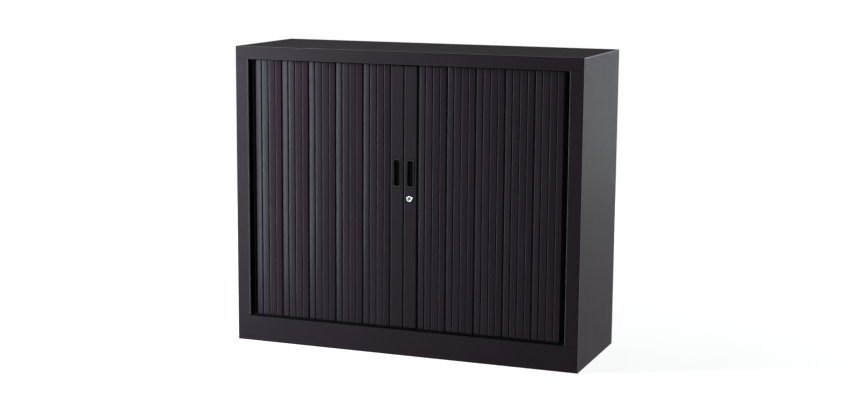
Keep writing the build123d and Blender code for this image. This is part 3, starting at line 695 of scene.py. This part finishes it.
def cup_loops(front_y, back_y):
    """Loops of the pull from its back round the rim into the pocket: width, height, corner, depth.
    Also gives the numbers of the loops that bound the lighter band of the rim."""
    face_y = front_y + CUP_BEAD
    loops = [
        (CUP_BOX_WIDTH, CUP_BOX_HEIGHT, CUP_BOX_CORNER, back_y),
        (CUP_BOX_WIDTH, CUP_BOX_HEIGHT, CUP_BOX_CORNER, face_y),
        (CUP_WIDTH, CUP_HEIGHT, CUP_CORNER, face_y),
    ]
    # The rim's outer edge is a quarter bead, its inner edge a smaller one.
    for angle in quarter_turn(BEAD_STEPS, first=1):
        inset = CUP_BEAD * (1 - math.cos(angle))
        y = face_y - CUP_BEAD * math.sin(angle)
        loops.append((CUP_WIDTH - 2 * inset, CUP_HEIGHT - 2 * inset, CUP_CORNER - inset / 2, y))
    black = CUP_BEAD + RIM_BLACK
    band_start = len(loops)
    loops.append((CUP_WIDTH - 2 * black, CUP_HEIGHT - 2 * black, CUP_CORNER - black / 2, front_y))
    band_end = band_start + 2
    for angle in quarter_turn(LIP_STEPS):
        grow = 2 * POCKET_LIP - 2 * POCKET_LIP * math.sin(angle)
        y = front_y + POCKET_LIP * (1 - math.cos(angle))
        loops.append((POCKET_WIDTH + grow, POCKET_HEIGHT + grow, POCKET_CORNER + grow / 2, y))
    width = POCKET_WIDTH - POCKET_DRAFT
    height = POCKET_HEIGHT - POCKET_DRAFT
    corner = POCKET_CORNER - POCKET_DRAFT / 2
    deep = back_y - CUP_FLOOR - POCKET_FLOOR_RADIUS
    for angle in quarter_turn(FLOOR_STEPS):
        inset = POCKET_FLOOR_RADIUS * (1 - math.cos(angle))
        y = deep + POCKET_FLOOR_RADIUS * math.sin(angle)
        loops.append((width - 2 * inset, height - 2 * inset, corner - inset, y))
    return loops, band_start, band_end


def handle_cup(side_name):
    """Recessed pull: beaded rim on the stile's face, drafted pocket with a rounded floor."""
    node = f"{side_name}_handle_cup"
    low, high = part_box(node)
    centre = ((low.x + high.x) / 2, (low.z + high.z) / 2)
    loops, band_start, band_end = cup_loops(low.y, high.y)
    vertices = []
    for width, height, radius, y in loops:
        vertices += rounded_loop(centre, width, height, radius, y)
    count = len(vertices) // len(loops)
    faces = loft_faces(len(loops), count)
    name = f"{side_name}_finger_pull"
    piece = piece_from(name, vertices, faces, "black_plastic", f"{side_name}_door", (node,))
    piece.data.materials.append(RIM_PLASTIC)
    for polygon in piece.data.polygons[band_start * count : band_end * count]:
        polygon.material_index = 1


for door in ("left", "right"):
    handle_cup(door)


# ---------------------------------------------------------------- lock
def turned(profile):
    """Rings about the lock's axis from (radius, depth) points, closed end to end."""
    vertices = []
    for step in range(TURNED_STEPS):
        angle = 2 * math.pi * step / TURNED_STEPS
        for radius, y in profile:
            vertices.append((LOCK_X + radius * math.cos(angle), y, LOCK_Z + radius * math.sin(angle)))
    count = len(profile)
    faces = []
    for step in range(TURNED_STEPS):
        low, high = step * count, (step + 1) % TURNED_STEPS * count
        for i in range(count):
            j = (i + 1) % count
            faces.append((low + i, high + i, high + j, low + j))
    return vertices, faces


def bezel_profile(front_y, back_y):
    """Half section of the bezel and its barrel: rolled edge, dished face, bore, barrel."""
    flange_back = front_y + BEZEL_DEPTH
    profile = [(BEZEL_RADIUS, flange_back)]
    for angle in quarter_turn(BEZEL_ROLL_STEPS):
        radius = BEZEL_RADIUS - BEZEL_ROLL + BEZEL_ROLL * math.cos(angle)
        profile.append((radius, front_y + BEZEL_ROLL - BEZEL_ROLL * math.sin(angle)))
    profile += [(radius, front_y + depth) for radius, depth in BEZEL_DISH]
    profile += [(BORE_RADIUS, back_y), (BARREL_RADIUS, back_y), (BARREL_RADIUS, flange_back)]
    return profile


def lug_vertices(back):
    """Pointer on the bezel's edge: its outline three times, the last one drawn in."""
    vertices = []
    for rise, share in LUG_RINGS:
        for u, v in LUG_OUTLINE:
            out = LUG_ROOT + (u - LUG_ROOT) * share
            aside = v * share
            x = LOCK_X + out * math.cos(LUG_ANGLE) - aside * math.sin(LUG_ANGLE)
            z = LOCK_Z + out * math.sin(LUG_ANGLE) + aside * math.cos(LUG_ANGLE)
            vertices.append((x, back - rise, z))
    return vertices


def lock_bezel():
    """Turned bezel with a rolled edge and a dished face, on its barrel, with a pointer lug."""
    low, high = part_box("lock_housing")
    vertices, faces = turned(bezel_profile(low.y, high.y))
    base = len(vertices)
    vertices += lug_vertices(low.y + BEZEL_DEPTH)
    faces += [tuple(base + i for i in face) for face in loft_faces(len(LUG_RINGS), len(LUG_OUTLINE))]
    piece_from("lock_bezel", vertices, faces, "lock_chrome", "right_door", ("lock_housing",))


lock_bezel()


# ---------------------------------------------------------------- studio
def softbox(name, place, target, width, height, watts, colour):
    """Rectangular soft light that faces its target."""
    lamp = bpy.data.lights.new(name, "AREA")
    lamp.shape = "RECTANGLE"
    lamp.size = width
    lamp.size_y = height
    lamp.energy = watts
    lamp.color = colour
    holder = bpy.data.objects.new(name, lamp)
    holder.location = place
    bpy.context.scene.collection.objects.link(holder)
    holder.rotation_mode = "QUATERNION"
    holder.rotation_quaternion = (Vector(target) - holder.location).to_track_quat("-Z", "Y")


def background_rays(tree):
    """1 for rays that should see the white background: camera, glossy and transmission."""
    path = tree.nodes.new("ShaderNodeLightPath")
    kinds = ("Is Camera Ray", "Is Glossy Ray", "Is Transmission Ray")
    return strongest(tree, *(path.outputs[kind] for kind in kinds))


def studio_world():
    """Even grey light, white where it is seen directly or in a reflection."""
    world = bpy.data.worlds.new("studio")
    world.use_nodes = True
    tree = world.node_tree
    tree.nodes.clear()
    lit, seen = (tree.nodes.new("ShaderNodeBackground") for _ in range(2))
    for background, strength in ((lit, AMBIENT), (seen, 1.0)):
        background.inputs["Color"].default_value = (*WHITE, 1.0)
        background.inputs["Strength"].default_value = strength
    choice = tree.nodes.new("ShaderNodeMixShader")
    out = tree.nodes.new("ShaderNodeOutputWorld")
    tree.links.new(background_rays(tree), choice.inputs["Fac"])
    tree.links.new(lit.outputs[0], choice.inputs[1])
    tree.links.new(seen.outputs[0], choice.inputs[2])
    tree.links.new(choice.outputs[0], out.inputs["Surface"])
    bpy.context.scene.world = world


def floor_material():
    """Matt grey that keeps a soft shadow, with a glow that only background rays see."""
    material = bpy.data.materials.new("pale_floor")
    material.use_nodes = True
    tree = material.node_tree
    tree.nodes.clear()
    matt = tree.nodes.new("ShaderNodeBsdfDiffuse")
    matt.inputs["Color"].default_value = FLOOR_GREY
    distance = tree.nodes.new("ShaderNodeVectorMath")
    distance.operation = "LENGTH"
    fade = tree.nodes.new("ShaderNodeMapRange")
    fade.interpolation_type = "SMOOTHSTEP"
    fade.inputs["From Min"].default_value = GLOW_RISES_FROM
    fade.inputs["From Max"].default_value = GLOW_FULL_AT
    fade.inputs["To Min"].default_value = FLOOR_GLOW
    fade.inputs["To Max"].default_value = 1.0
    glow = tree.nodes.new("ShaderNodeEmission")
    total = tree.nodes.new("ShaderNodeAddShader")
    out = tree.nodes.new("ShaderNodeOutputMaterial")
    tree.links.new(tree.nodes.new("ShaderNodeTexCoord").outputs["Object"], distance.inputs[0])
    tree.links.new(distance.outputs["Value"], fade.inputs["Value"])
    tree.links.new(both(tree, fade.outputs["Result"], background_rays(tree)), glow.inputs["Strength"])
    tree.links.new(matt.outputs[0], total.inputs[0])
    tree.links.new(glow.outputs[0], total.inputs[1])
    tree.links.new(total.outputs[0], out.inputs["Surface"])
    return material


def studio_floor():
    """Pale floor, a little greyer near the object and white further out."""
    corners = [(-1, -1), (1, -1), (1, 1), (-1, 1)]
    mesh = bpy.data.meshes.new("studio_floor")
    mesh.from_pydata([(FLOOR_HALF * x, FLOOR_HALF * y, 0) for x, y in corners], [], [(0, 1, 2, 3)])
    mesh.materials.append(floor_material())
    floor = bpy.data.objects.new("studio_floor", mesh)
    bpy.context.scene.collection.objects.link(floor)


def place_camera():
    """Camera at the viewing angle of the picture, its place worked out from angle and distance."""
    back = Vector((
        math.sin(CAMERA_AZIMUTH) * math.cos(CAMERA_ELEVATION),
        -math.cos(CAMERA_AZIMUTH) * math.cos(CAMERA_ELEVATION),
        math.sin(CAMERA_ELEVATION),
    ))
    lens = bpy.data.cameras.new("camera")
    lens.sensor_width = SENSOR_WIDTH
    lens.lens = FOCAL_PIXELS / IMAGE_WIDTH * SENSOR_WIDTH
    lens.clip_start = CLIP_NEAR
    lens.clip_end = CLIP_FAR
    camera = bpy.data.objects.new("camera", lens)
    bpy.context.scene.collection.objects.link(camera)
    camera.location = CAMERA_TARGET + back * CAMERA_DISTANCE
    level = (-back).to_track_quat("-Z", "Y").to_matrix()
    camera.rotation_euler = (level @ Matrix.Rotation(CAMERA_ROLL, 3, "Z")).to_euler()
    bpy.context.scene.camera = camera


studio_world()
studio_floor()
for lamp_values in LAMPS:
    softbox(*lamp_values)
place_camera()
bpy.context.scene.view_settings.view_transform = "Standard"
